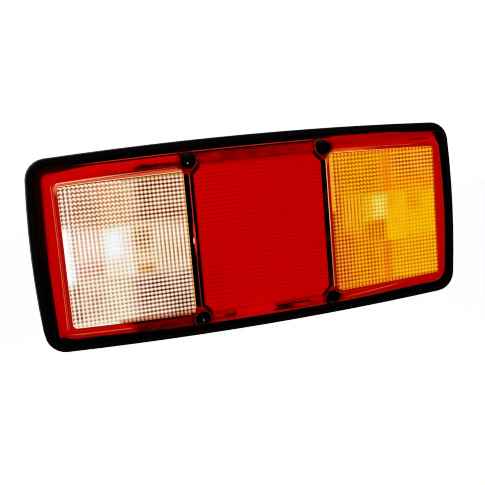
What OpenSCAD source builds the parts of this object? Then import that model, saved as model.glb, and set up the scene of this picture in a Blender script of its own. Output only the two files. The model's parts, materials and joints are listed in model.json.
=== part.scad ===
// Rear lamp cluster for a vehicle: reversing, stop and tail, and direction indicator behind one moulded lens.
// X runs across the lamp, Z is up, and the lens looks along -Y.
// The origin is the middle of the four mounting studs, on the back face of the rubber pad.

/* [Lamp] */
// Overall width across the black rim
lamp_w = 240; // [230:1:280]
// Overall height across the black rim
lamp_h = 104; // [102:1:120]
// Depth from the mounting face to the front of the lens
lamp_depth = 74; // [73:1:90]
// How far the long sides bow out between the corners
top_bow = 3.4; // [2:0.1:5]
// How far the short sides bow out
side_bow = 2.8; // [1.6:0.1:4]
// Corner radius of the rim
corner_r = 11; // [10.5:0.5:14]

/* [Lens] */
// Margin from the rim to the lens edge at the two ends
end_margin = 7.4; // [6.6:0.1:8]
// Margin from the rim to the lens edge at top and bottom
long_margin = 5.7; // [5.4:0.1:6.4]
// Width of the rounded shoulder around the face
shoulder_w = 5.9; // [5:0.1:6.2]
// Distance from the middle of the lamp to each divider
divider_x = 38.2; // [36:0.1:42]
// Distance from the rim at top and bottom to the middle of a screw well
well_margin = 10.4; // [10.2:0.1:11.4]
// Radius of a screw well
well_r = 4.1; // [3.9:0.1:4.2]
// Pitch of the optic flutes
flute_pitch = 2.1; // [1.8:0.05:3.5]
// Depth of the optic flutes
flute_d = 0.4; // [0.2:0.05:0.5]
// Width of the channel around each coloured window
channel_w = 1.7; // [1.4:0.1:2]
// Depth of the channel around each coloured window
channel_d = 1.5; // [0.8:0.1:1.7]

/* [Housing] */
// Thickness of the rim wall
rim_t = 2.8; // [2.2:0.1:3]
// Height of the rim band along the side of the lamp
rim_band = 12; // [9:0.5:16]
// Thickness of the back wall
back_t = 3; // [2.5:0.1:3.5]
// Thickness of the partitions between the chambers
partition_t = 2.2; // [1.6:0.1:2.4]
// Thickness of the rubber pad behind the housing
pad_t = 3; // [2.5:0.5:4]

/* [Mounting] */
// Distance between the studs across the lamp
stud_dx = 160; // [156:1:170]
// Distance between the studs up the lamp
stud_dz = 56; // [50:1:60]
// Radius of a stud
stud_r = 2.5; // [2:0.5:3]
// Length of a stud behind the mounting face
stud_len = 18; // [12:1:30]
// Radius of the cable bore in the grommet
cable_r = 4; // [3:0.5:4.5]
// Distance of the grommet from the middle of the lamp
cable_x = 23; // [22:0.5:24]

/* [Bulbs] */
// Radius of a bulb's glass
glass_r = 12.5; // [11:0.5:13]
// Radius of a bulb's cap
cap_r = 7.5; // [7.2:0.1:7.6]
// Length of a bulb from its contact to its tip
bulb_len = 52; // [49:0.5:53]

/* [Hidden] */

// How far a cut runs past the face that it opens
eps = 0.5;
// Clearance between curved faces that fit one inside the other
fit_gap = 0.3;

// Levels along Y
face_y = -lamp_depth;
lens_t = 2.6;
lens_in_y = face_y + lens_t;
shoulder_y = face_y + 5.35;
rim_y = face_y + 6;
flange_y = face_y + 7.5;
gasket_y = face_y + 10;
ledge_y = face_y + 12;
rim_back_y = rim_y + rim_band;
back_y = -pad_t;
floor_y = back_y - back_t;

// Insets from the outline of the rim
flange_inset = rim_t + 0.6;
gasket_inset = rim_t + 0.4;
cavity_inset = 7.6;
tub_inset = 5;

// The lens and its windows
lens_w = lamp_w - 2 * end_margin;
lens_h = lamp_h - 2 * long_margin;
lens_r = corner_r - 1.5;
window_out = lens_w / 2 - shoulder_w - channel_w - 0.4;
window_in = divider_x + 2.5;
window_h = lens_h / 2 - shoulder_w - channel_w;
window_cx = (window_out + window_in) / 2;
window_chamfer = 3.2;
window_r = 2.2;
panel_x = divider_x - 2.8;
panel_chamfer = 4.3;
pane_gap = 0.12;
pane_lip = 1.2;
patch = 26;
border = 2;
bulb_x = [-window_cx, 0, window_cx];

// Lens screws and their wells
well_x = divider_x - 0.7;
well_z = lamp_h / 2 - well_margin;
well_y = face_y + 4.6;
lens_boss_r = 5;
housing_boss_r = 5.2;
washer_t = 0.8;
head_h = 2.2;
head_r = 3.4;
shank_r = 1.9;
shank_len = 20;

// Metalwork on the floor of the housing
pad_rise = 1.2;
strip_t = 0.8;
strip_w = 26;
strip_y = floor_y - pad_rise - strip_t;
socket_t = 0.6;
socket_r = cap_r + fit_gap + socket_t;
socket_len = 18;
socket_flange_r = 12.4;
rivet_x = 10.4;
disc_t = 1.6;
leaf_t = 0.6;
leaf_y = strip_y - disc_t - leaf_t;
pip_h = 1;
cap_y = leaf_y - pip_h;
cap_len = 15;
cement_y = cap_y - cap_len + 3;
tip_y = leaf_y - bulb_len;
post_x = 12;
post_z = 15.6;
post_r = 2.2;
dish_y = floor_y - 14;
dish_t = 1;
dish_flat = 22;
grommet_flange = 5.5;
neck_r = stud_r + 0.5;
blade_l = 6;
leaf_l = socket_flange_r + 8.6;
coil_h = 0.4 * bulb_len;
tail_h = 0.33 * bulb_len;
cable_z = -(lamp_h / 2 - cavity_inset - 1.4 - cable_r - grommet_flange - 2.5);

// Points on an arc about c from angle a0 towards angle a1, without the last point
function arc(c, r, a0, a1, n) = [for (i = [0 : n - 1]) let (a = a0 + (a1 - a0) * i / n) c + r * [cos(a), sin(a)]];

// A quarter of an outline with bowed sides, moved in by inset so that its edges stay parallel
function quarter(w, h, r, inset) =
  let (rt = ((w / 2) ^ 2 + top_bow ^ 2) / (2 * top_bow),
       rs = ((h / 2) ^ 2 + side_bow ^ 2) / (2 * side_bow),
       ct = [0, h / 2 - rt],
       cs = [w / 2 - rs, 0],
       d = norm(cs - ct),
       u = (cs - ct) / d,
       a = ((rt - r) ^ 2 - (rs - r) ^ 2 + d ^ 2) / (2 * d),
       q = sqrt((rt - r) ^ 2 - a ^ 2),
       c = ct + a * u + q * [u.y, -u.x],
       as = atan2(c.y - cs.y, c.x - cs.x),
       at = atan2(c.y - ct.y, c.x - ct.x))
  concat(arc(cs, rs - inset, 0, as, 3), arc(c, r - inset, as, at, 6), arc(ct, rt - inset, at, 90, 6));

// The whole outline, anticlockwise from the middle of the right side
function outline(w, h, r, inset) =
  let (q = quarter(w, h, r, inset), n = len(q))
  concat(
    q,
    [[0, h / 2 - inset]],
    [for (i = [n - 1 : -1 : 0]) [-q[i].x, q[i].y]],
    [for (i = [1 : n - 1]) [-q[i].x, -q[i].y]],
    [[0, inset - h / 2]],
    [for (i = [n - 1 : -1 : 1]) [q[i].x, -q[i].y]]
  );

function lamp_outline(inset) = outline(lamp_w, lamp_h, corner_r, inset);
function lens_outline(inset) = outline(lens_w, lens_h, lens_r, inset);

// Solid through rings of equal length; ys holds the level of each ring, from the front to the back
module loft(rings, ys) {
  n = len(rings[0]);
  last = len(rings) - 1;
  polyhedron(
    points = [for (k = [0 : last]) for (p = rings[k]) [p.x, ys[k], p.y]],
    faces = concat(
      [[for (i = [n - 1 : -1 : 0]) i]],
      [for (k = [0 : last - 1]) for (i = [0 : n - 1])
        let (j = (i + 1) % n) [k * n + i, k * n + j, (k + 1) * n + j, (k + 1) * n + i]],
      [[for (i = [0 : n - 1]) last * n + i]]
    )
  );
}

module lamp_loft(steps) {
  loft([for (s = steps) lamp_outline(s[0])], [for (s = steps) s[1]]);
}

module lens_loft(steps) {
  loft([for (s = steps) lens_outline(s[0])], [for (s = steps) s[1]]);
}

// A shape drawn in X and Z, made solid from y0 back to y1
module across(y0, y1) {
  translate([0, y1, 0])
    rotate([90, 0, 0])
      linear_extrude(height = y1 - y0)
        children();
}

// A round bar along Y from y0 back to y1
module rod(r, y0, y1, n = 48) {
  translate([0, y1, 0])
    rotate([90, 0, 0])
      cylinder(r = r, h = y1 - y0, $fn = n);
}

// A profile of radius and forward distance, turned about Y from the level y
module turned(y, n = 48) {
  translate([0, y, 0])
    rotate([90, 0, 0])
      rotate_extrude($fn = n)
        children();
}

// A block given by its middle in X and Z, its size, and its levels along Y
module block(x, z, w, h, y0, y1) {
  translate([x - w / 2, y0, z - h / 2])
    cube([w, y1 - y0, h]);
}

module at_wells() {
  for (sx = [-1, 1])
    for (sz = [-1, 1])
      translate([sx * well_x, 0, sz * well_z])
        children();
}

module at_studs() {
  for (sx = [-1, 1])
    for (sz = [-1, 1])
      translate([sx * stud_dx / 2, 0, sz * stud_dz / 2])
        children();
}

module at_bulbs() {
  for (x = bulb_x)
    translate([x, 0, 0])
      children();
}

// Height of a window's edge at x, which follows the bow of the lamp
function window_z(x, grow) = window_h + grow - top_bow * (x / (lamp_w / 2)) ^ 2;

// Outline of the window on the right, grown by grow
function window_points(grow) =
  let (x0 = window_in - grow,
       x1 = window_out + grow,
       r = window_r + grow,
       c = window_chamfer + grow * 0.4,
       n = 5,
       top = [for (i = [0 : n]) let (x = x0 + c + (x1 - r - x0 - c) * i / n) [x, window_z(x, grow)]],
       zr = window_z(x1 - r, grow) - r,
       corner = [for (a = [60, 30, 0]) [x1 - r + r * cos(a), zr + r * sin(a)]],
       upper = concat([[x0, window_z(x0, grow) - c]], top, corner))
  concat(upper, [for (i = [len(upper) - 1 : -1 : 0]) [upper[i].x, -upper[i].y]]);

// The window's shape on one side: -1 for reversing and 1 for the indicator
module window_shape(side, grow) {
  polygon([for (p = window_points(grow)) [side * p.x, p.y]]);
}

// Outline of the middle panel, grown by grow, with corners cut off beside the wells
function panel_points(grow) =
  let (x1 = panel_x + grow,
       c = panel_chamfer + grow * 0.4,
       n = 6,
       top = [for (i = [0 : n]) let (x = (x1 - c) * (2 * i / n - 1)) [x, window_z(x, grow)]],
       upper = concat([[-x1, window_z(x1, grow) - c]], top, [[x1, window_z(x1, grow) - c]]))
  concat(upper, [for (i = [len(upper) - 1 : -1 : 0]) [upper[i].x, -upper[i].y]]);

// Fall of a row of flutes at step i, with four steps to a flute and its ridge in the middle
function flute_fall(i) = flute_d * [1, 0.25, 0, 0.25][i % 4];

// Cutter above a row of n flutes from 0 to w, which leaves convex ridges below it
module flute_row(w, h, n) {
  linear_extrude(height = h)
    polygon(concat(
      [for (i = [0 : 4 * n]) [w * i / (4 * n), -flute_fall(i)]],
      [[w, 2], [0, 2]]
    ));
}

// Cuts upright flutes at the level y; facing is -1 for a face towards the front and 1 for an inner face
module cut_upright(x0, x1, z0, z1, y, facing) {
  translate([x0, y, z0])
    mirror([0, facing < 0 ? 1 : 0, 0])
      flute_row(x1 - x0, z1 - z0, round((x1 - x0) / flute_pitch));
}

// Cuts level flutes in the same way
module cut_level(x0, x1, z0, z1, y, facing) {
  translate([x0, y, z1])
    mirror([0, facing < 0 ? 1 : 0, 0])
      rotate([0, 90, 0])
        flute_row(z1 - z0, x1 - x0, round((z1 - z0) / flute_pitch));
}

// Moulded black tub with the rim, the ledge for the lens, the chambers and the bosses
module housing() {
  color([0.05, 0.05, 0.055])
    difference() {
      union() {
        lamp_loft([[0.9, rim_y], [0.25, rim_y + 0.35], [0, rim_y + 1.1], [0, rim_back_y - 0.8], [0.8, rim_back_y]]);
        lamp_loft([[tub_inset, rim_back_y - 1], [tub_inset + 1, back_y - 3], [tub_inset + 1.8, back_y]]);
      }
      across(face_y, ledge_y)
        polygon(lamp_outline(rim_t));
      difference() {
        lamp_loft([[cavity_inset, ledge_y - 1], [cavity_inset + 1.4, floor_y]]);
        housing_floor_parts();
      }
      at_wells()
        rod(shank_r + 0.25, ledge_y - eps, well_y + shank_len + 1);
      at_studs()
        rod(neck_r + fit_gap, floor_y - eps, back_y + eps);
      translate([cable_x, 0, cable_z])
        rod(cable_r + 3 + fit_gap, floor_y - eps, back_y + eps);
      at_bulbs()
        for (sx = [-1, 1])
          translate([sx * rivet_x, 0, 0])
            rod(1.35, floor_y - pad_rise - eps, floor_y + 2);
    }
  color([0.05, 0.05, 0.055])
    partition_tops();
}

// Bosses, partitions, reflector posts and strip pads that stand on the floor of the tub
module housing_floor_parts() {
  at_wells()
    rod(housing_boss_r, ledge_y, floor_y + eps);
  for (sx = [-1, 1])
    difference() {
      block(sx * divider_x, 0, partition_t, lamp_h, ledge_y, floor_y + eps);
      block(sx * divider_x, 0, partition_t + 2, strip_w + 1, strip_y - 0.4, floor_y);
    }
  at_bulbs()
    for (sx = [-1, 1])
      for (sz = [-1, 1])
        translate([sx * post_x, 0, sz * post_z])
          rod(post_r, dish_y, floor_y + eps, 24);
  at_bulbs()
    block(0, 0, 28, strip_w - 2, floor_y - pad_rise, floor_y + eps);
}

// Upper part of each partition, which reaches up inside the lens between its screw bosses
module partition_tops() {
  for (sx = [-1, 1])
    block(sx * divider_x, 0, partition_t, 2 * (well_z - lens_boss_r - 1.2), lens_in_y + 0.6, ledge_y + 0.1);
}

// Rubber pad between the housing and the body panel
module mounting_pad() {
  color([0.09, 0.09, 0.09])
    difference() {
      across(back_y, 0)
        polygon(lamp_outline(tub_inset + 1.8));
      at_studs()
        rod(neck_r + fit_gap, back_y - eps, eps);
      translate([cable_x, 0, cable_z])
        rod(cable_r + grommet_flange + 1, back_y - eps, eps);
    }
}

// Rubber grommet that the cable enters by, with a flange on each side of the back wall
module cable_grommet() {
  flange_r = cable_r + grommet_flange;
  color([0.12, 0.12, 0.12])
    translate([cable_x, 0, cable_z])
      turned(back_y + 2)
        polygon([
          [cable_r, 0.4], [cable_r + 0.4, 0], [flange_r - 0.6, 0], [flange_r, 0.6], [flange_r, 2],
          [cable_r + 3, 2], [cable_r + 3, 2 + back_t], [flange_r, 2 + back_t],
          [flange_r, 3.4 + back_t], [flange_r - 0.6, 4 + back_t], [cable_r + 0.4, 4 + back_t],
          [cable_r, 3.6 + back_t]
        ]);
}

// Four studs with hexagon heads on the floor of the housing and a thicker neck up to the mounting face
module mounting_studs() {
  color([0.72, 0.73, 0.75])
    at_studs()
      union() {
        rod(stud_r + 2, floor_y - 3, floor_y, 6);
        turned(stud_len)
          polygon([[0, 0], [stud_r - 0.6, 0], [stud_r, 0.6], [stud_r, stud_len], [neck_r, stud_len],
                   [neck_r, stud_len - floor_y + 0.5], [0, stud_len - floor_y + 0.5]]);
      }
}

// Seal under the lens flange, cut away around the lens bosses
module lens_gasket() {
  color([0.1, 0.1, 0.1])
    across(gasket_y, ledge_y)
      difference() {
        polygon(lamp_outline(gasket_inset));
        polygon(lamp_outline(cavity_inset - 0.2));
        for (sx = [-1, 1])
          for (sz = [-1, 1])
            translate([sx * well_x, sz * well_z])
              circle(r = lens_boss_r + fit_gap, $fn = 48);
      }
}

// Red moulding: flange, skirt, rounded shoulder, dividers, screw wells and the fluted middle panel
module red_lens() {
  panel_z = window_h - 0.4;
  color([0.8, 0.02, 0.02])
    difference() {
      union() {
        across(flange_y, gasket_y)
          polygon(lamp_outline(flange_inset));
        lens_loft([
          [shoulder_w, face_y], [3.9, face_y + 0.35], [2.2, face_y + 1.15], [0.95, face_y + 2.4],
          [0.2, face_y + 3.9], [0, shoulder_y], [-1.4, flange_y + 0.1]
        ]);
        at_wells()
          rod(lens_boss_r, gasket_y - 1, ledge_y);
      }
      difference() {
        lens_loft([[5.3, lens_in_y], [3.8, face_y + 3.6], [2.7, face_y + 5.6], [2.4, gasket_y + eps]]);
        at_wells()
          rod(lens_boss_r, lens_in_y - 1, ledge_y);
      }
      at_wells()
        union() {
          rod(well_r, face_y - 1, well_y);
          rod(shank_r + fit_gap, well_y - 1, ledge_y + eps);
        }
      for (side = [-1, 1]) {
        across(face_y - 1, face_y + channel_d)
          window_shape(side, channel_w);
        across(face_y, lens_in_y + eps)
          window_shape(side, pane_gap);
      }
      across(face_y - 1, face_y + channel_d)
        difference() {
          polygon(panel_points(channel_w));
          polygon(panel_points(0));
        }
      intersection() {
        cut_level(-panel_x, panel_x, -panel_z, panel_z, face_y, -1);
        across(face_y - 3, face_y + 1)
          polygon(panel_points(-0.5));
      }
      cut_upright(-panel_x, panel_x, -panel_z + 4, panel_z - 4, lens_in_y, 1);
    }
}

// One coloured window with crossed flutes, a smooth border and a plain patch in front of the bulb
module pane(side) {
  x0 = side * window_cx - (window_out - window_in) / 2 + border;
  x1 = side * window_cx + (window_out - window_in) / 2 - border;
  z1 = window_h - border;
  difference() {
    union() {
      across(face_y, lens_in_y + 0.1)
        window_shape(side, 0);
      across(lens_in_y, lens_in_y + 1.2)
        window_shape(side, pane_lip);
    }
    intersection() {
      difference() {
        cut_upright(x0, x1, -z1, z1, face_y, -1);
        block(side * window_cx, 0, patch, patch, face_y - 3, face_y + 1);
      }
      across(face_y - 3, face_y + 1)
        window_shape(side, -border);
    }
    intersection() {
      union() {
        block(side * window_cx, 0, x1 - x0 + 1, 2 * z1 + 1, lens_in_y + 0.2, lens_in_y + 3);
        cut_level(x0, x1, -z1, z1, lens_in_y + 0.2, 1);
      }
      across(face_y + 1, lens_in_y + 4)
        window_shape(side, -border);
    }
  }
}

module reverse_lens() {
  color([0.95, 0.95, 0.92])
    pane(-1);
}

module indicator_lens() {
  color([1, 0.68, 0.02])
    pane(1);
}

// Pan head screws that hold the lens down
module lens_screws() {
  color([0.09, 0.085, 0.08])
    at_wells()
      difference() {
        turned(well_y + shank_len, 32)
          polygon([
            [0, 0], [shank_r - 0.9, 0], [shank_r, 1.4], [shank_r, shank_len + washer_t],
            [head_r, shank_len + washer_t], [head_r, shank_len + washer_t + 1],
            [head_r - 0.4, shank_len + washer_t + 1.7], [head_r - 1.2, shank_len + washer_t + head_h],
            [0, shank_len + washer_t + head_h]
          ]);
        rotate([0, 35, 0])
          block(0, 0, 2 * head_r, 0.9, well_y - washer_t - head_h - 1, well_y - washer_t - head_h + 1.1);
      }
}

// Sealing washers under the heads
module screw_washers() {
  color([0.14, 0.14, 0.15])
    at_wells()
      difference() {
        rod(well_r - fit_gap, well_y - washer_t, well_y, 32);
        rod(shank_r + fit_gap, well_y - washer_t - eps, well_y + eps, 32);
      }
}

// Brass strip that earths the three sockets, with one blade for the cable
module earth_strip() {
  color([0.78, 0.62, 0.3])
    difference() {
      union() {
        block(0, 0, 2 * window_cx + 28, strip_w, strip_y, strip_y + strip_t);
        block(-cable_x, -strip_w / 2 - 3, 6.3, 8, strip_y, strip_y + strip_t);
        block(-cable_x, -strip_w / 2 - 6.6, 6.3, strip_t, strip_y - blade_l, strip_y + strip_t);
      }
      for (sx = [-1, 1])
        block(sx * window_cx / 2, 0, window_cx - 42, strip_w - 12, strip_y - 1, strip_y + 2);
      at_bulbs()
        for (sx = [-1, 1])
          translate([sx * rivet_x, 0, 0])
            rod(1.35, strip_y - eps, strip_y + strip_t + eps);
    }
}

// Rivets through the socket flanges and the strip into the floor
module strip_rivets() {
  color([0.75, 0.75, 0.74])
    at_bulbs()
      for (sx = [-1, 1])
        translate([sx * rivet_x, 0, 0])
          turned(floor_y + 1.8, 24)
            polygon([[0, 0], [1.1, 0], [1.1, 4.4], [1.8, 4.4], [1.5, 5], [0.8, 5.3], [0, 5.3]]);
}

// Insulating discs under the contacts
module contact_discs() {
  color([0.35, 0.2, 0.1])
    at_bulbs()
      rod(cap_r - 0.2, strip_y - disc_t, strip_y);
}

// Bright dish around a bulb, cut to the chamber between x0 and x1
module reflector(x, x0, x1) {
  color([0.86, 0.87, 0.88])
    intersection() {
      translate([x, 0, 0])
        turned(dish_y, 72)
          polygon(concat(
            [[socket_r + 0.8, 0]],
            [for (i = [0 : 8]) let (r = dish_flat + 5 * i) [r, (r ^ 2 - dish_flat ^ 2) / 100]],
            [for (i = [8 : -1 : 0]) let (r = dish_flat + 5 * i) [r, (r ^ 2 - dish_flat ^ 2) / 100 + dish_t]],
            [[socket_r + 0.8, dish_t]]
          ));
      difference() {
        across(ledge_y, dish_y + 1)
          intersection() {
            polygon(lamp_outline(cavity_inset + 1.6));
            translate([x0, -lamp_h])
              square([x1 - x0, 2 * lamp_h]);
          }
        at_wells()
          rod(housing_boss_r + 0.6, ledge_y - 1, dish_y + 2);
      }
    }
}

wall_x = divider_x + partition_t / 2 + 0.5;

module reverse_reflector() {
  reflector(-window_cx, -lamp_w, -wall_x);
}

module stop_tail_reflector() {
  reflector(0, wall_x - 2 * divider_x, 2 * divider_x - wall_x);
}

module indicator_reflector() {
  reflector(window_cx, wall_x, lamp_w);
}

// Bayonet socket with a riveted flange, two hooked slots and a gate for the contact
module socket(x) {
  slot_y = cap_y - 8;
  color([0.74, 0.75, 0.76])
    translate([x, 0, 0])
      difference() {
        turned(strip_y)
          polygon([
            [socket_r - socket_t, 0], [socket_flange_r, 0], [socket_flange_r, socket_t], [socket_r, socket_t],
            [socket_r, socket_len], [socket_r - socket_t, socket_len]
          ]);
        for (a = [0, 180])
          rotate([0, a, 0])
            union() {
              block(socket_r, 0, 4, 2.8, strip_y - socket_len - 1, slot_y + 1.4);
              translate([0, slot_y + 1.4, 0])
                rotate([0, 39, 0])
                  rotate([90, 0, 0])
                    rotate_extrude(angle = 39, $fn = 48)
                      translate([socket_r - 2, 0])
                        square([4, 2.8]);
            }
        for (sx = [-1, 1])
          translate([sx * rivet_x, 0, 0])
            rod(1.35, strip_y - 2, strip_y + eps);
        block(0, -socket_r, 10, 4, leaf_y - 1.4, strip_y - socket_t - 0.1);
      }
}

module reverse_socket() {
  socket(bulb_x[0]);
}

module stop_tail_socket() {
  socket(bulb_x[1]);
}

module indicator_socket() {
  socket(bulb_x[2]);
}

// Brass leaf from the middle of the socket out to a blade for the cable
module contact_leaf(x, w) {
  color([0.8, 0.66, 0.34])
    union() {
      block(x, 2.5 - leaf_l / 2, w, leaf_l, leaf_y, leaf_y + leaf_t);
      block(x, 2.5 - leaf_l + leaf_t / 2, w, leaf_t, leaf_y - blade_l, leaf_y + leaf_t);
    }
}

module reverse_contact() {
  contact_leaf(bulb_x[0], 5);
}

module stop_tail_contacts() {
  contact_leaf(-2.6, 3.4);
  contact_leaf(2.6, 3.4);
}

module indicator_contact() {
  contact_leaf(bulb_x[2], 5);
}

// Bulb cap with two bayonet pins and one contact or two underneath
module bulb_cap(x, pips) {
  color([0.7, 0.71, 0.72])
    translate([x, 0, 0])
      union() {
        difference() {
          rod(cap_r, cap_y - cap_len, cap_y);
          rod(cap_r - 0.5, cap_y - cap_len - eps, cement_y);
        }
        rotate([0, 28, 0])
          translate([0, cap_y - 8, 0])
            rotate([0, 90, 0])
              cylinder(r = 1, h = 2 * socket_r + 1.6, center = true, $fn = 24);
        for (p = pips)
          translate([p, 0, 0])
            rod(1.5, cap_y - eps, leaf_y, 24);
      }
}

module reverse_bulb_cap() {
  bulb_cap(bulb_x[0], [0]);
}

module stop_tail_bulb_cap() {
  bulb_cap(bulb_x[1], [-2.6, 2.6]);
}

module indicator_bulb_cap() {
  bulb_cap(bulb_x[2], [0]);
}

// Hollow glass bulb that stands in its cap
module bulb_glass(x, tint) {
  len_y = cement_y - tip_y;
  cy = len_y - glass_r;
  neck_r = cap_r - 0.8;
  wall = 0.8;
  color(tint)
    translate([x, 0, 0])
      turned(cement_y)
        polygon(concat(
          [[neck_r - wall, 0], [neck_r, 0], [neck_r, 6]],
          [for (a = [-50 : 10 : 80]) [glass_r * cos(a), cy + glass_r * sin(a)]],
          [[0, len_y], [0, len_y - wall]],
          [for (a = [80 : -10 : -50]) [(glass_r - wall) * cos(a), cy + (glass_r - wall) * sin(a)]],
          [[neck_r - wall, 6.2]]
        ));
}

module reverse_bulb_glass() {
  bulb_glass(bulb_x[0], [0.9, 0.93, 0.95]);
}

module stop_tail_bulb_glass() {
  bulb_glass(bulb_x[1], [0.9, 0.93, 0.95]);
}

module indicator_bulb_glass() {
  bulb_glass(bulb_x[2], [0.9, 0.93, 0.95]);
}

// Glass stem with support wires and a coil; h holds the height of each coil
module filament(x, hs) {
  color([0.6, 0.6, 0.58])
    translate([x, 0, 0])
      union() {
        turned(cement_y, 24)
          polygon([[0, 0], [3.2, 0], [2.6, 2], [1.6, 9], [1.2, 12], [0, 12.6]]);
        for (h = hs) {
          for (sx = [-1, 1])
            translate([sx * 3, cement_y - 10, 0])
              rotate([90, 0, 0])
                cylinder(r = 0.35, h = h - 10, $fn = 12);
          translate([0, cement_y - h + 0.2, 0])
            rotate([0, 90, 0])
              cylinder(r = 0.8, h = 6.7, center = true, $fn = 16);
        }
        translate([0, cement_y - 10.4, 0])
          rotate([0, 90, 0])
            cylinder(r = 0.7, h = 6.7, center = true, $fn = 16);
      }
}

module reverse_filament() {
  filament(bulb_x[0], [coil_h]);
}

module stop_tail_filaments() {
  filament(bulb_x[1], [tail_h, coil_h + 1]);
}

module indicator_filament() {
  filament(bulb_x[2], [coil_h]);
}

housing();
mounting_pad();
cable_grommet();
mounting_studs();
lens_gasket();
red_lens();
reverse_lens();
indicator_lens();
lens_screws();
screw_washers();
earth_strip();
strip_rivets();
contact_discs();
reverse_reflector();
stop_tail_reflector();
indicator_reflector();
reverse_socket();
stop_tail_socket();
indicator_socket();
reverse_contact();
stop_tail_contacts();
indicator_contact();
reverse_bulb_cap();
stop_tail_bulb_cap();
indicator_bulb_cap();
reverse_bulb_glass();
stop_tail_bulb_glass();
indicator_bulb_glass();
reverse_filament();
stop_tail_filaments();
indicator_filament();
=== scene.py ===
"""Dresses a rear lamp cluster: moulded optics, materials, camera and light."""

import json
import math

import bmesh
import bpy
from bpy.props import FloatProperty, FloatVectorProperty, IntProperty, PointerProperty
from mathutils import Matrix, Vector


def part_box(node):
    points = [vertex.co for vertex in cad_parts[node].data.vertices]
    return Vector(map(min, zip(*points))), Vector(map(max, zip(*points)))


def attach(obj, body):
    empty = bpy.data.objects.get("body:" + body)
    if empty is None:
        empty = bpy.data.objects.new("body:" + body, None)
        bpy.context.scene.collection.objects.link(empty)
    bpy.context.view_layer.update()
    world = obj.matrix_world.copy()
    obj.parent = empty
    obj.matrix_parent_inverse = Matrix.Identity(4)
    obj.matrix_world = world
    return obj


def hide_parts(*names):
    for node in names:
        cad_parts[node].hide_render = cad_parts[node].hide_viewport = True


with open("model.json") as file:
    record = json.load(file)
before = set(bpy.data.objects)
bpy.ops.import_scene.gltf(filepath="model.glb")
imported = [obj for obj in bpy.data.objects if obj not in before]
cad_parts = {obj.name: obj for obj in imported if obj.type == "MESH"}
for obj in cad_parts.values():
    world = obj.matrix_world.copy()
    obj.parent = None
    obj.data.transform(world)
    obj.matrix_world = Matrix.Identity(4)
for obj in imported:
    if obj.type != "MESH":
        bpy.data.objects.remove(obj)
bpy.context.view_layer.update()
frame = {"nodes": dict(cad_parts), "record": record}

bl_info = {
    "name": "Rear Lamp Look",
    "version": (1, 0, 0),
    "blender": (4, 5, 0),
    "location": "View3D > Sidebar > Lamp",
    "description": "Adds the moulded optics, materials, camera and light to a rear lamp cluster",
    "category": "Object",
}

MM = 0.001

# Sizes of the solids that the new windows and the materials keep to
LIP = 1.2 * MM
LENS_LOW, LENS_HIGH = ([round(v, 5) for v in corner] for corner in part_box("indicator_lens"))
HALF_WIDTH = round(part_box("housing")[1].x, 5)


def length(name, default, description):
    return FloatProperty(
        name=name, default=default, min=0.0, description=description, unit="LENGTH", precision=5
    )


def colour(name, default, description):
    return FloatVectorProperty(
        name=name, default=default, min=0.0, max=1.0, size=3, description=description, subtype="COLOR"
    )


def watts(name, default, description):
    return FloatProperty(name=name, default=default, min=0.0, description=description, unit="POWER")


class LampLookSettings(bpy.types.PropertyGroup):
    """Sizes, colours and light of the lamp's look"""

    face: length("Face", -LENS_LOW[1], "Distance of the lens face in front of the mounting face")
    half_width: length("Half Width", HALF_WIDTH, "Half the width of the lamp")
    bow: length("Bow", 0.0034, "How far the long sides bow out")
    window_in: length(
        "Window Inner Edge", LENS_LOW[0] + LIP, "Distance of a window's inner edge from the middle"
    )
    window_out: length(
        "Window Outer Edge", LENS_HIGH[0] - LIP, "Distance of a window's outer edge from the middle"
    )
    window_height: length(
        "Window Half Height", 0.0387, "Half the height of a window before the bow is taken off"
    )
    lip: length("Lip", LIP, "How far a window's lip reaches behind the red lens")
    border: length("Border", 0.0006, "Plain border around the pillow optics")
    pillow_depth: length("Pillow Depth", 0.00042, "Depth of the pillow optics")
    columns: IntProperty(name="Columns", default=30, min=4, description="Pillows across one window")
    rows: IntProperty(name="Rows", default=36, min=4, description="Pillows up one window")
    patch: length("Patch", 0.026, "Side of the square optic in front of the bulb")
    red: colour("Red", (0.56, 0.0, 0.0), "Colour of the red moulding")
    clear: colour("Clear", (0.94, 0.84, 0.67), "Colour of the clear window")
    amber: colour("Amber", (0.96, 0.46, 0.003), "Colour of the amber window")
    black: colour("Black", (0.0008, 0.0008, 0.0008), "Colour of the housing")
    key: watts("Key", 10.0, "Power of the key light")
    fill: watts("Fill", 3.0, "Power of the fill light")
    rim: watts("Edge", 2.0, "Power of the edge light")
    lens: FloatProperty(
        name="Focal Length", default=59.53, min=20.0, description="Focal length", unit="CAMERA"
    )
    turn: FloatVectorProperty(
        name="Camera Turn",
        default=(math.radians(8.79), math.radians(17.50), math.radians(4.93)),
        size=3,
        description="Turn of the lamp in front of the camera",
        subtype="EULER",
    )
    away: FloatVectorProperty(
        name="Camera Offset",
        default=(0.01140, 0.00552, 0.42697),
        size=3,
        description="Place of the lens centre in front of the camera: right, up and away",
        subtype="TRANSLATION",
    )


def settings():
    return bpy.context.scene.lamp_look


# Shader graphs


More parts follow.
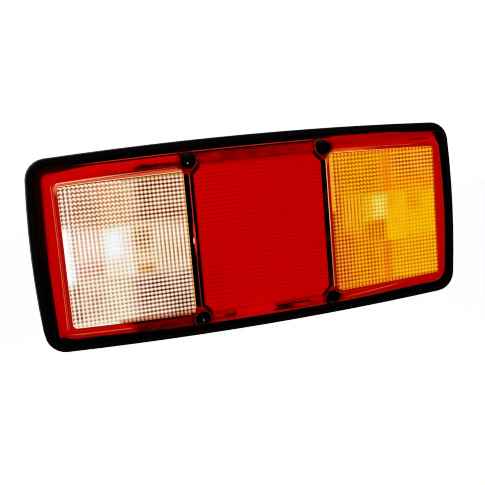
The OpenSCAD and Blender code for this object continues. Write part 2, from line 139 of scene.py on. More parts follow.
class Graph:
    """A node tree, with short calls for the nodes that the lamp uses"""

    def __init__(self, tree):
        self.tree = tree
        self.tree.nodes.clear()

    def feed(self, socket, value):
        """Links an output to the socket, or sets the socket to a number or a colour"""
        if isinstance(value, bpy.types.NodeSocket):
            self.tree.links.new(value, socket)
        elif socket.type == "RGBA" and len(value) == 3:
            socket.default_value = (*value, 1.0)
        else:
            socket.default_value = value

    def add(self, kind, options=None, **inputs):
        """Adds a node, and feeds its inputs by name, with _ for a space"""
        node = self.tree.nodes.new(kind)
        for key, value in (options or {}).items():
            setattr(node, key, value)
        for key, value in inputs.items():
            self.feed(node.inputs[key.replace("_", " ")], value)
        return node

    def math(self, operation, *values):
        node = self.add("ShaderNodeMath", {"operation": operation})
        for socket, value in zip(node.inputs, values):
            self.feed(socket, value)
        return node.outputs[0]

    def plus(self, first, second):
        return self.math("ADD", first, second)

    def minus(self, first, second):
        return self.math("SUBTRACT", first, second)

    def over(self, first, second):
        return self.math("DIVIDE", first, second)

    def squared(self, value):
        return self.math("POWER", value, 2.0)

    def larger(self, first, second):
        return self.math("MAXIMUM", first, second)

    def either_way(self, value):
        """The value without its sign"""
        return self.math("ABSOLUTE", value)

    def line(self, value, slope, start):
        """start at zero, and slope more for each unit of value"""
        return self.math("MULTIPLY_ADD", value, slope, start)

    def hypot(self, first, second):
        return self.math("SQRT", self.plus(self.squared(first), self.squared(second)))

    def times(self, first, *others):
        for other in others:
            first = self.math("MULTIPLY", first, other)
        return first

    def step(self, value, low, high, start=0.0, end=1.0):
        """Smooth change from start to end while value goes from low to high"""
        node = self.add("ShaderNodeMapRange", {"interpolation_type": "SMOOTHSTEP"}, Value=value)
        for key, number in (("From Min", low), ("From Max", high), ("To Min", start), ("To Max", end)):
            self.feed(node.inputs[key], number)
        return node.outputs[0]

    def until(self, value, low, high):
        """1 under low, 0 over high"""
        return self.step(value, low, high, 1.0, 0.0)

    def band(self, value, low, high, soft):
        """1 between low and high, with soft edges"""
        rise = self.step(value, low - soft, low + soft)
        return self.times(rise, self.until(value, high - soft, high + soft))

    def box(self, x, z, sides, soft):
        """1 inside a rectangle given by its left, right, bottom and top, with soft edges"""
        left, right, bottom, top = sides
        return self.times(self.band(x, left, right, soft), self.band(z, bottom, top, soft))

    def mix(self, factor, first, second):
        """A colour between two"""
        node = self.add("ShaderNodeMix", {"data_type": "RGBA"})
        for place, value in ((0, factor), (6, first), (7, second)):
            self.feed(node.inputs[place], value)
        return node.outputs[2]

    def mix_normals(self, factor, first, second):
        """A direction between two"""
        node = self.add("ShaderNodeMix", {"data_type": "VECTOR"})
        for place, value in ((0, factor), (4, first), (5, second)):
            self.feed(node.inputs[place], value)
        return node.outputs[1]

    def paint(self, base, layers):
        """Lays masked colours over a base, from first to last"""
        for mask, shade in layers:
            base = self.mix(mask, base, shade)
        return base

    def seen_by_camera(self):
        """1 where the camera looks, by itself or by way of gloss or glass"""
        path = self.add("ShaderNodeLightPath").outputs
        indirect = self.larger(path["Is Glossy Ray"], path["Is Transmission Ray"])
        return self.larger(path["Is Camera Ray"], indirect)

    def finish_with(self, output, factor, first, second):
        """Ends the tree with a blend of two shaders"""
        both = self.add("ShaderNodeMixShader")
        for socket, value in zip(both.inputs, (factor, first.outputs[0], second.outputs[0])):
            self.feed(socket, value)
        self.feed(self.add(output).inputs[0], both.outputs[0])


class Finish(Graph):
    """A material, with its object's place in metres and its axes in millimetres"""

    def __init__(self, name):
        self.mat = bpy.data.materials.new(name)
        self.mat.use_nodes = True
        super().__init__(self.mat.node_tree)
        self.place = self.add("ShaderNodeTexCoord").outputs["Object"]
        axes = self.add("ShaderNodeSeparateXYZ", Vector=self.place)
        self.x, self.y, self.z = (self.times(axis, 1.0 / MM) for axis in axes.outputs)

    def noise(self, scale, detail=3.0, stretch=None):
        place = self.place
        if stretch:
            place = self.add("ShaderNodeMapping", Vector=place, Scale=stretch).outputs[0]
        return self.add("ShaderNodeTexNoise", Vector=place, Scale=scale, Detail=detail).outputs["Fac"]

    def soft_edges(self, radius):
        """Normals that round the edges off by a radius"""
        return self.add("ShaderNodeBevel", {"samples": 4}, Radius=radius).outputs[0]

    def bump(self, height, distance, strength=1.0, radius=None):
        """Fine relief, over edges that are rounded off by a radius"""
        node = self.add("ShaderNodeBump", Height=height, Distance=distance, Strength=strength)
        if radius is not None:
            self.feed(node.inputs["Normal"], self.soft_edges(radius))
        return node.outputs[0]

    def surface(self, **inputs):
        shader = self.add("ShaderNodeBsdfPrincipled", None, **inputs)
        self.feed(self.add("ShaderNodeOutputMaterial").inputs[0], shader.outputs[0])
        return self.mat


def tone(red, green=0, blue=0):
    """Linear colour from steps of 0 to 255 as a screen shows them"""
    return tuple(((c / 255.0 + 0.055) / 1.055) ** 2.4 if c > 10 else c / 3294.6 for c in (red, green, blue))


def scaled(base, factor, lift=0.0):
    return [c * factor + lift for c in base]


# Materials of the plain pieces


def moulded_black(s):
    """Grained black plastic of the housing"""
    g = Finish("black_moulding")
    cloud = g.noise(90.0, 4.0)
    return g.surface(
        Base_Color=g.mix(g.step(cloud, 0.35, 0.75), s.black, scaled(s.black, 1.8, 0.0002)),
        Roughness=g.step(cloud, 0.3, 0.7, 0.42, 0.54),
        Specular_IOR_Level=0.01,
        Normal=g.bump(g.noise(2200.0, 2.0), 0.00004, 0.5, 0.0004),
    )


def rubber(name, grey):
    """Dull rubber with a little dust on it"""
    g = Finish(name)
    base = (grey, grey, grey)
    dust = g.step(g.noise(160.0, 5.0), 0.55, 0.8)
    return g.surface(
        Base_Color=g.mix(dust, base, scaled(base, 1.9, 0.01)),
        Roughness=0.8,
        Specular_IOR_Level=0.2,
        Normal=g.bump(g.noise(2600.0, 3.0), 0.00005, 0.6, 0.0003),
    )


def plated(name, base, rough, stretch=(1.0, 1.0, 18.0), spots=0.0):
    """Brushed or plated metal with faint clouds"""
    g = Finish(name)
    cloud = g.noise(120.0, 4.0)
    return g.surface(
        Base_Color=g.mix(g.step(cloud, 0.3, 0.75), base, scaled(base, 0.78 - spots)),
        Metallic=1.0,
        Roughness=g.step(cloud, 0.25, 0.75, rough, rough + 0.14),
        Normal=g.bump(g.noise(900.0, 2.0, stretch), 0.00002, 0.5, 0.00015),
    )


# Where the glint lies on the lower and the upper screws of the left divider, in millimetres
GLINT_X = (-36.9, -37.6)
GLINT_Z = (-42.6, 40.4)


def screw_black(name):
    """Blackened steel with one small glint on a head"""
    g = Finish(name)
    gap_x = g.minus(g.x, g.step(g.z, -1.0, 1.0, *GLINT_X))
    gap_z = g.minus(g.z, g.step(g.z, -1.0, 1.0, *GLINT_Z))
    glint = g.until(g.hypot(gap_x, gap_z), 0.12, 0.4)
    scratched = g.mix(g.noise(700.0, 2.0), (0.0008, 0.0005, 0.0005), (0.002, 0.0012, 0.0012))
    return g.surface(
        Base_Color=g.mix(glint, scratched, (0.95, 0.95, 0.95)),
        Metallic=0.6,
        Roughness=0.5,
        Specular_IOR_Level=0.01,
        Normal=g.soft_edges(0.0002),
    )


def fibre(name, base):
    """Pressed fibre board"""
    g = Finish(name)
    weave = g.noise(1500.0, 2.0, (1.0, 1.0, 5.0))
    return g.surface(
        Base_Color=g.mix(weave, base, scaled(base, 0.5)), Roughness=0.65, Normal=g.bump(weave, 0.00003)
    )


def clear_glass(name):
    """Thin blown glass, a little uneven"""
    g = Finish(name)
    return g.surface(
        Base_Color=(0.97, 0.98, 1.0),
        Transmission_Weight=1.0,
        Roughness=0.02,
        IOR=1.5,
        Normal=g.bump(g.noise(60.0, 1.0), 0.0002, 0.2),
    )


# The red moulding. Its places are in millimetres from the middle of the lamp

CHANNEL_TOP = 40.4
CHANNEL_END = 106.4
# How far the shoulder's edge reaches at the ends and the sides, and how far each bows out
SHOULDER_END, SHOULDER_END_BOW = 112.4, 1.6
SHOULDER_SIDE, SHOULDER_SIDE_BOW = 46.3, 2.3
SHOULDER_HALF = 112.6
SHOULDER_CORNER = 3.4
PANEL = (-35.0, 35.0, -38.2, 38.2)
FLUTE_START, FLUTE_ACROSS, FLUTE_UP = 35.4, 2.082, 2.128
WELL_X, WELL_Z = 37.5, 41.6


class Moulding(Finish):
    """The red moulding's material, with the places that its colours keep to"""

    def __init__(self, s):
        super().__init__("red_moulding")
        x, z = self.x, self.z
        self.red = s.red
        self.face = -s.face / MM
        self.wide = self.either_way(x)
        self.high = self.either_way(z)
        self.above = self.step(z, 30.0, 36.0)
        self.below = self.until(z, -36.0, -30.0)
        self.front = self.until(self.y, self.face + 0.1, self.face + 0.3)
        self.panel = self.box(x, z, PANEL, 0.2)
        self.cloud = self.noise(28.0, 3.0)
        self.streak = self.noise(140.0, 3.0, (0.5, 1.0, 3.0))
        self.mottle = self.noise(160.0, 4.0, (0.5, 1.0, 1.5))
        # Height over the bowed edge of the channels, and the floor of the channels
        bow = self.times(self.squared(self.over(self.wide, s.half_width / MM)), s.bow / MM)
        self.beyond = self.minus(self.plus(self.high, bow), CHANNEL_TOP)
        inside = self.until(self.wide, CHANNEL_END - 0.1, CHANNEL_END + 0.1)
        flat = self.times(self.until(self.beyond, -0.05, 0.1), inside)
        self.ditch = self.times(flat, self.step(self.y, self.face + 0.55, self.face + 0.9))
        # How far a point lies inside the edge of the shoulder, with nearly square corners
        end = self.line(self.squared(z), -SHOULDER_END_BOW / SHOULDER_SIDE**2, SHOULDER_END)
        side = self.line(self.squared(x), -SHOULDER_SIDE_BOW / SHOULDER_HALF**2, SHOULDER_SIDE)
        self.from_side = self.minus(side, self.high)
        # The top edge falls away to the left
        slant = self.times(self.larger(self.minus(-72.0, x), 0.0), self.above, 0.06)
        gaps = (self.minus(end, self.wide), self.minus(self.from_side, slant))
        lack = [self.larger(self.minus(SHOULDER_CORNER, gap), 0.0) for gap in gaps]
        self.inset = self.minus(SHOULDER_CORNER, self.hypot(*lack))

    def area(self, sides, soft, *limits):
        """1 on a rectangle of the face, times what limits it"""
        return self.times(self.box(self.x, self.z, sides, soft), *limits)


def panel_layers(m):
    """The middle panel: painted light makes it brighter than the rest, painted shade gives faint lines
    between its flutes, and a painted glow lies below it
    """
    across = m.math("FRACT", m.over(m.plus(m.x, FLUTE_START), FLUTE_ACROSS))
    up = m.math("FRACT", m.over(m.z, FLUTE_UP))
    corner = m.larger(m.area((-36.0, -20.0, -40.0, -16.0), 6.0), m.area((-36.0, -16.0, 10.0, 34.0), 6.0))
    # Painted shade in the creases between the flutes, stronger at the left
    lines = m.times(
        m.panel,
        m.step(m.either_way(m.minus(across, 0.5)), 0.2, 0.5),
        m.step(m.either_way(m.minus(up, 0.5)), 0.1, 0.5),
        m.line(corner, 0.24, 0.04),
    )
    # Painted light: the panel is painted brighter, with faint clouds
    lit_clouds = m.mix(m.step(m.cloud, 0.3, 0.8), scaled(m.red, 1.2), scaled(m.red, 1.1))
    return (
        (m.times(m.panel, 0.9), lit_clouds),
        (lines, tone(120)),
        # Painted glow below the panel
        (m.area((-18.0, 8.0, -60.0, -36.0), 6.0, 0.7), tone(232)),
    )


def upper_band_layers(m):
    """The band above the windows and the panel, in painted shade: mottled and dark towards the shoulder"""
    x, step, band = m.x, m.step, m.band
    ridge = m.times(band(m.from_side, 1.0, 1.8, 0.3), m.above, band(x, -34.0, 34.0, 4.0), 0.7)
    span = m.times(step(x, -94.0, -76.0), m.until(x, 30.0, 40.0))
    rim = m.times(band(m.from_side, 0.25, 1.0, 0.12), m.above, span)
    return (
        # Painted shade: dark mottles and darker red above the windows and the panel
        (m.area((-66.0, -42.0, 39.6, 42.2), 1.0, step(m.mottle, 0.38, 0.6)), tone(16)),
        (m.area((-80.0, -60.0, 39.0, 42.0), 5.0, step(m.mottle, 0.4, 0.65), 0.6), tone(90)),
        (m.area((-33.0, 33.0, 39.6, 47.0), 1.0, step(m.mottle, 0.3, 0.6, 0.35, 0.9)), tone(112)),
        (m.area((42.0, 104.0, 41.5, 48.0), 1.5, step(m.mottle, 0.3, 0.7, 0.6, 1.0)), tone(150)),
        (m.area((89.0, 102.0, 40.6, 41.4), 0.5, step(x, 82.0, 96.0)), tone(20)),
        # Painted shade: a dark line inside the shoulder's edge over the middle, and a near black line
        # nearer the edge
        (ridge, tone(50)),
        (rim, tone(6)),
    )


def lower_band_layers(m):
    """The band below the windows and the panel, in painted shade which is darker still, with a painted dark
    reflection in streaks below the panel
    """
    reach = m.line(m.step(m.wide, 45.0, 95.0), 1.7, 1.2)
    return (
        # Painted shade with dark mottles, and a painted dark reflection in streaks
        (m.times(m.below, m.until(m.minus(m.from_side, reach), -0.5, 0.3)), tone(8)),
        (m.area((-74.0, -33.0, -50.0, -38.3), 2.5, m.step(m.mottle, 0.3, 0.6, 0.98, 0.7)), tone(12)),
        (m.area((3.0, 34.0, -43.8, -40.2), 0.9, m.step(m.streak, 0.4, 0.52)), tone(6)),
        (m.area((-33.0, -19.0, -43.0, -39.8), 1.2, m.step(m.mottle, 0.36, 0.52), 0.9), tone(22)),
    )


def shoulder_layers(m):
    """The rounded shoulder: dark beyond its edge, with painted shade near the edge at the right and the
    upper left, a painted line of light along the top, a painted highlight at the top right, and faint
    painted reflections in streaks on the left skirt
    """
    x, step, band = m.x, m.step, m.band
    right = step(x, 100.0, 108.0)
    light = m.times(
        band(m.from_side, -0.1, 0.2, 0.1),
        m.above,
        step(x, -98.0, -78.0),
        step(x, 34.0, 44.0, 1.0, 0.25),
        step(m.streak, 0.2, 0.5),
    )
    # Faint painted reflections in streaks on the left skirt
    skirt = m.times(step(m.y, -68.4, -67.6), step(m.streak, 0.55, 0.75), m.until(x, -112.0, -100.0), 0.7)
    return (
        # Painted shade near the edge at the right
        (m.times(right, band(m.inset, 1.2, 2.0, 0.2), 0.6), tone(90)),
        (m.times(right, m.until(m.inset, 0.2, 0.9), 0.9), tone(30)),
        (m.until(m.inset, -0.15, 0.1), tone(3)),
        # Painted highlight along the edge at the top right, then painted shade at the upper left edge
        (m.area((46.0, 88.0, 36.0, 50.0), 4.0, band(m.inset, -0.9, 0.3, 0.2)), tone(176)),
        (m.area((-114.0, -98.0, 0.0, 50.0), 6.0, m.until(m.inset, 0.0, 1.2), 0.8), tone(40)),
        (light, tone(212, 46, 40)),
        (skirt, tone(40, 2, 2)),
    )


def channel_layers(m):
    """Channels round the windows and the panel: painted shade on their floors, the windows' painted glow in
    them, and painted lines of light and a painted reflection streak along them
    """
    x, step, band, area = m.x, m.step, m.band, m.area
    window = step(m.wide, 39.2, 39.6)
    upper = m.times(m.ditch, window, m.above)
    clear_top = m.times(upper, m.until(x, -60.0, -40.0))
    clear_edge = m.times(clear_top, m.until(m.beyond, -1.35, -1.2))
    clear_line = m.times(clear_top, band(m.beyond, -1.3, -0.85, 0.1))
    far = step(x, -92.0, -60.0)
    amber_line = area((41.0, 62.0, 33.0, 42.0), 8.0, m.until(m.beyond, -1.4, -1.2))
    clear_end = m.times(band(x, -107.5, -107.2, 0.12), m.until(m.high, 35.0, 37.0))
    clear_foot = area((-105.0, -76.0, -43.0, -36.0), 2.0, band(m.beyond, 1.15, 1.55, 0.12))
    # Line of the painted reflection streak below the amber window
    crossed = m.minus(m.line(x, 0.091, -46.45), m.z)
    return (
        # Painted shade on the channels' floors; above the clear window, painted light on the left and
        # painted shade on the right
        (m.times(m.ditch, 0.35), tone(90)),
        (m.times(m.ditch, window), tone(170, 8, 3)),
        (clear_top, m.mix(far, tone(200, 14, 6), tone(80, 2, 0))),
        (clear_edge, m.mix(far, tone(240, 116, 66), tone(168, 26, 14))),
        (clear_line, m.mix(far, tone(255, 206, 156), tone(206, 72, 54))),
        # Painted shade below the clear window, and the amber window's painted glow in the channel above it
        (area((-76.0, -41.0, -42.0, -34.0), 4.0, m.ditch), tone(34)),
        (area((41.0, 64.0, 33.0, 42.0), 10.0, upper), tone(228, 92, 14)),
        # Painted highlights along the channels, and last a painted reflection streak below the amber window
        (m.times(upper, amber_line), tone(255, 172, 54)),
        (m.times(band(x, 104.8, 105.15, 0.12), m.until(m.high, 34.0, 38.0), 0.7), tone(226, 84, 62)),
        (m.times(clear_end, step(m.streak, 0.2, 0.5, 0.2, 0.7)), tone(240, 120, 84)),
        (m.times(band(x, -106.7, -106.4, 0.12), m.until(m.high, 35.0, 37.0), 0.5), tone(226, 80, 50)),
        (area((41.0, 92.0, 33.0, 42.0), 3.0, band(m.beyond, -0.15, 0.12, 0.1), 0.8), tone(232, 100, 50)),
        (m.times(clear_foot, step(m.streak, 0.25, 0.5, 0.5, 1.0)), tone(246, 104, 60)),
        (area((47.0, 76.0, -43.0, -37.0), 5.0, band(crossed, -0.2, 0.2, 0.15)), tone(252, 112, 54)),
    )


# Direction of the cut corner beside a well
CUT_RUN, CUT_RISE = 0.874, 0.486


def lit_corner_layers(m):
    """Lit corner of the channel beside the right wells"""
    down = m.minus(m.high, m.step(m.z, -1.0, 1.0, 38.9, 37.7))
    right = m.minus(m.x, 41.3)
    along = m.plus(m.times(right, CUT_RUN), m.times(down, CUT_RISE))
    across = m.minus(m.times(down, CUT_RUN), m.times(right, CUT_RISE))
    strength = m.step(m.z, -1.0, 1.0, 0.7, 1.0)
    lit = m.times(m.band(along, -1.7, 1.7, 0.3), m.band(across, -0.35, 0.35, 0.15), strength)
    return ((lit, tone(255, 196, 124)),)


def divider_layers(m):
    """Dividers: two grooves in painted shade with a ridge between that has painted highlights and a painted
    glint, painted light on the wall beside the right one, and painted shade in the cut corners of the
    panel's channel
    """
    step, band, times = m.step, m.band, m.times
    inner = m.until(m.high, 34.6, 35.6)

    def strip(left, right, soft, *limits):
        """1 on an upright strip of a divider"""
        return times(inner, band(m.x, left, right, soft), *limits)

    cut = times(m.until(m.wide, 38.5, 38.7), step(m.wide, 31.0, 32.4), step(m.high, 34.0, 35.0), m.ditch)
    uneven = step(m.noise(70.0, 3.0, (0.3, 1.0, 1.0)), 0.45, 0.6)
    wall = m.until(m.y, m.face + 0.3, m.face + 0.6)
    return (
        # Painted shade in the grooves and in the cut corners
        (strip(-40.6, -35.45, 0.12), tone(3)),
        (strip(35.45, 38.6, 0.12), m.mix(uneven, tone(5), tone(42, 8, 4))),
        (cut, tone(10)),
        # Painted highlights and a painted glint on the ridges, and painted light on the wall beside the
        # right divider
        (strip(-38.05, -37.55, 0.12, m.front, step(m.z, -12.0, 6.0, 0.4, 0.9)), tone(200, 54, 46)),
        (strip(-38.5, -37.35, 0.12, band(m.z, -5.0, 8.0, 3.0), m.front, 0.9), tone(232, 44, 24)),
        (strip(-38.9, -38.3, 0.12, band(m.z, -1.0, 1.6, 0.6), m.front), tone(255, 226, 206)),
        (strip(38.4, 38.85, 0.1, m.front), tone(252, 196, 136)),
        (strip(38.3, 39.0, 0.1, band(m.z, -36.0, -5.0, 4.0), m.front, 0.55), tone(160, 66, 40)),
        (strip(38.95, 40.8, 0.12, wall), tone(178, 12, 2)),
    )


def well_layers(m):
    """Screw wells: walls in painted shade, a broken arc of painted light round each, and mottles of painted
    shade beyond
    """
    reach = m.hypot(m.minus(m.wide, WELL_X), m.minus(m.high, WELL_Z))
    arc = m.times(m.band(reach, 4.05, 4.5, 0.12), m.step(m.noise(160.0, 2.0), 0.48, 0.62), 0.7)
    return (
        (m.times(m.until(reach, 4.4, 7.6), m.step(m.mottle, 0.3, 0.6, 0.5, 1.0)), tone(44)),
        (arc, tone(150, 40, 40)),
        (m.times(m.until(reach, 4.1, 4.3), m.step(m.y, m.face + 0.1, m.face + 0.6)), tone(2)),
    )


RED_PARTS = (
    panel_layers,
    upper_band_layers,
    lower_band_layers,
    shoulder_layers,
    channel_layers,
    lit_corner_layers,
    divider_layers,
    well_layers,
)


def red_moulding(s):
    """Tinted acrylic: dark skirt, grooves in painted shade, edges lit by painted highlights, faint lines of
    painted shade on the middle panel, and a faint painted glow
    """
    m = Moulding(s)
    base = m.mix(m.step(m.cloud, 0.3, 0.8, 0.0, 0.22), m.red, scaled(m.red, 0.78))
    for layers in RED_PARTS:
        base = m.paint(base, layers(m))
    # The flutes stay faint: most of the light comes through the moulding, not off its front
    normal = m.mix_normals(m.times(m.panel, 0.94), m.soft_edges(0.0004), (0.0, -1.0, 0.0))
    return m.surface(
        Base_Color=base,
        Roughness=0.35,
        Specular_IOR_Level=0.005,
        Normal=normal,
        # Emission paints a faint glow all over, stronger on the channels' floors
        Emission_Color=base,
        Emission_Strength=m.line(m.ditch, 0.45, 0.08),
    )


# Materials of the two windows, with the light and shade that the bulbs and bowls behind them throw painted
# on: painted light on the pillows, painted shade in lines between the pillows and in dots where the lines
# cross, and areas of painted light and shade. Colours are in steps of 0 to 255 as a screen shows them, and
# places in millimetres from the middle of the window. Each area has its left, right, bottom and top, the
# softness of its edges, the colours of its light, its lines and its dots, and how strongly the dots, the
# level lines and the upright lines show. A later area lies over an earlier one.

# Colours of the windows' painted light and shade
WHITE = (255, 255, 255)
WARM = (255, 238, 208)
CREAM = (255, 244, 228)
TAN = (218, 156, 98)
BROWN = (190, 108, 54)
DARK = (110, 42, 14)
DOT_SHADE = (44, 10, 2)
GOLD = (255, 190, 20)
YELLOW = (255, 198, 2)
ORANGE = (236, 124, 8)
AMBER_DOT_SHADE = (206, 84, 4)

CLEAR_AREAS = (
    # Above the square in front of the bulb
    ((-34.0, -11.0, 12.0, 42.0), 6.0, WARM, (196, 104, 44), (96, 28, 4), (0.85, 1.0, 0.4)),
    ((-12.0, 3.0, 12.0, 42.0), 6.0, WARM, (216, 140, 72), (150, 76, 26), (0.8, 1.0, 0.35)),
    ((4.0, 36.0, 11.0, 42.0), 6.0, WARM, (188, 88, 28), DOT_SHADE, (1.0, 1.0, 0.65)),
    # Left of the square, lit by the bulb's side of the bowl
    ((-33.0, -12.5, -12.0, -3.0), 2.5, CREAM, (214, 146, 104), (140, 66, 34), (0.8, 0.7, 0.5)),
    ((-33.0, -12.5, -3.0, 12.5), 4.0, (255, 250, 242), (214, 152, 108), (190, 116, 72), (0.3, 0.1, 0.9)),
    # The lower corners
    ((-33.0, 1.0, -36.0, -13.0), 5.0, (255, 246, 228), (216, 184, 142), (160, 118, 78), (0.8, 0.5, 0.4)),
    ((-31.0, -14.0, -35.0, -16.0), 6.0, (255, 240, 220), (208, 136, 88), (120, 50, 22), (0.75, 0.45, 0.55)),
    ((1.0, 36.0, -38.0, -13.5), 4.5, (255, 242, 222), (180, 88, 40), DOT_SHADE, (1.0, 1.0, 0.5)),
    ((18.0, 36.0, -38.0, -24.0), 8.0, (255, 230, 206), (142, 54, 30), (28, 2, 0), (1.0, 1.0, 0.8)),
    # Right of the square
    ((13.0, 32.0, -12.0, 11.5), 5.0, (255, 246, 222), (192, 124, 58), (130, 70, 26), (0.4, 0.15, 1.0)),
    # Painted shade in dark columns at the left
    ((-30.2, -26.0, -33.0, 34.0), 0.8, CREAM, BROWN, DARK, (0.95, 0.4, 0.8)),
    # The square: the bulb's glow at its left, the bowl's shade at its right
    ((-12.8, 12.5, -12.6, 12.6), 1.0, (252, 246, 234), (230, 212, 184), (202, 170, 134), (0.7, 0.6, 0.5)),
    ((-11.0, -3.5, -2.5, 9.5), 4.0, (246, 250, 255), (242, 246, 252), (238, 242, 250), (0.3, 0.2, 0.2)),
    ((2.2, 12.5, -13.0, 13.0), 1.0, (255, 240, 210), (224, 172, 112), (140, 80, 36), (0.8, 0.5, 0.6)),
    ((4.0, 12.5, -1.0, 11.0), 3.0, (255, 232, 194), (212, 146, 86), (76, 32, 10), (0.9, 0.7, 0.6)),
    ((4.0, 12.5, -13.0, -8.5), 2.0, (252, 212, 144), (206, 116, 44), (66, 18, 4), (0.85, 0.9, 0.3)),
    # The window's edges
    ((-36.0, -28.6, -14.0, 14.0), 3.5, WHITE, WHITE, WHITE, (0.0, 0.0, 0.0)),
    ((-36.0, -10.0, -42.0, -35.4), 1.0, (255, 250, 242), (236, 212, 186), TAN, (0.3, 0.2, 0.4)),
    ((-8.0, 36.0, -42.0, -35.8), 1.0, (232, 150, 104), (130, 44, 18), (70, 10, 2), (0.8, 0.6, 1.0)),
    ((0.0, 36.0, 34.6, 37.4), 0.6, (224, 176, 100), (160, 96, 34), (120, 60, 16), (0.6, 0.3, 0.7)),
    ((30.9, 36.0, -40.0, 40.0), 0.3, (250, 186, 110), (206, 106, 50), (150, 56, 20), (0.4, 0.5, 0.0)),
)
CLEAR_RIMS = ((37.3, 37.7, (96, 26, 10)), (37.7, 38.05, (255, 214, 176)), (38.05, 40.0, (222, 88, 50)))

AMBER_AREAS = (
    # Above the square in front of the bulb
    ((-32.0, -1.0, 12.0, 42.0), 6.0, (255, 190, 8), (226, 98, 0), (150, 46, 0), (0.85, 1.0, 0.4)),
    ((5.0, 36.0, 13.0, 42.0), 6.0, (255, 186, 6), (238, 110, 0), (206, 78, 0), (0.85, 0.9, 0.45)),
    ((-0.5, 4.6, 13.5, 42.0), 1.6, (250, 156, 4), (234, 100, 0), AMBER_DOT_SHADE, (0.5, 0.6, 0.3)),
    ((6.0, 36.0, 22.0, 35.0), 5.0, (255, 192, 40), (228, 92, 2), (160, 36, 0), (0.95, 1.0, 0.45)),
    # Left of the square, and the lower left corner
    ((-27.0, -13.0, -6.0, 13.0), 3.0, GOLD, (212, 110, 0), (186, 84, 0), (0.35, 0.1, 1.0)),
    ((-32.0, -5.0, -38.0, -7.0), 6.0, (255, 180, 12), (232, 98, 0), (166, 50, 0), (0.9, 0.7, 0.6)),
    ((-34.0, -22.0, -38.0, -6.0), 5.0, (255, 166, 40), (216, 70, 0), (140, 22, 0), (0.95, 0.8, 0.8)),
    ((-33.0, -26.0, -6.0, 34.0), 2.0, (255, 180, 34), (214, 76, 0), (150, 40, 0), (0.9, 0.6, 0.9)),
    # Below the square
    ((4.0, 36.0, -38.0, -13.6), 4.0, (255, 196, 8), (240, 132, 0), (200, 88, 0), (0.8, 0.75, 0.45)),
    ((-2.5, 2.6, -38.0, -13.6), 1.6, (250, 154, 6), (226, 92, 0), (190, 66, 0), (0.7, 0.6, 0.4)),
    # Right of the square
    ((13.0, 36.0, -13.0, 12.0), 3.5, YELLOW, (242, 162, 0), (230, 142, 0), (0.7, 0.6, 0.4)),
    ((13.0, 22.0, 2.0, 12.0), 3.0, (252, 184, 0), (236, 136, 0), (210, 100, 0), (0.7, 0.6, 0.5)),
    # The square: the bulb's glow at its left, plain amber at its right
    ((0.0, 13.0, -13.4, 13.4), 0.8, (255, 194, 2), (242, 172, 0), (230, 156, 0), (0.6, 0.5, 0.4)),
    ((0.0, 6.0, 4.0, 13.4), 3.0, (250, 176, 0), (240, 150, 0), (226, 136, 0), (0.5, 0.4, 0.3)),
    ((-13.0, 0.0, -13.4, 13.4), 0.8, (250, 200, 24), (232, 156, 4), (196, 116, 4), (0.7, 0.6, 0.5)),
    ((-7.0, 0.0, 0.0, 11.5), 3.0, (255, 240, 116), (236, 196, 36), (206, 156, 16), (0.8, 0.7, 0.6)),
    ((-13.0, -0.2, -13.4, -2.0), 2.0, (252, 164, 4), (222, 100, 0), (140, 40, 0), (0.75, 0.3, 0.9)),
    # The window's edges
    ((-36.0, 36.0, 35.6, 42.0), 0.8, (255, 172, 30), (206, 66, 4), AMBER_DOT_SHADE, (0.5, 0.4, 1.0)),
    ((-36.0, 36.0, -42.0, -35.4), 0.8, (254, 164, 16), (206, 62, 2), AMBER_DOT_SHADE, (0.6, 0.4, 1.0)),
    ((-36.0, -30.6, 6.0, 42.0), 1.0, (250, 176, 30), (246, 160, 20), (238, 144, 16), (0.3, 0.2, 0.0)),
    ((-36.0, -30.6, -42.0, 6.0), 1.0, (240, 110, 24), (160, 40, 2), (90, 8, 0), (0.4, 1.0, 0.2)),
    ((31.2, 36.0, -40.0, 40.0), 0.3, (240, 110, 26), (180, 34, 2), (140, 24, 2), (0.3, 0.9, 0.0)),
)
AMBER_RIMS = ((37.9, 38.35, (220, 74, 6)), (38.35, 40.0, (255, 176, 50)))


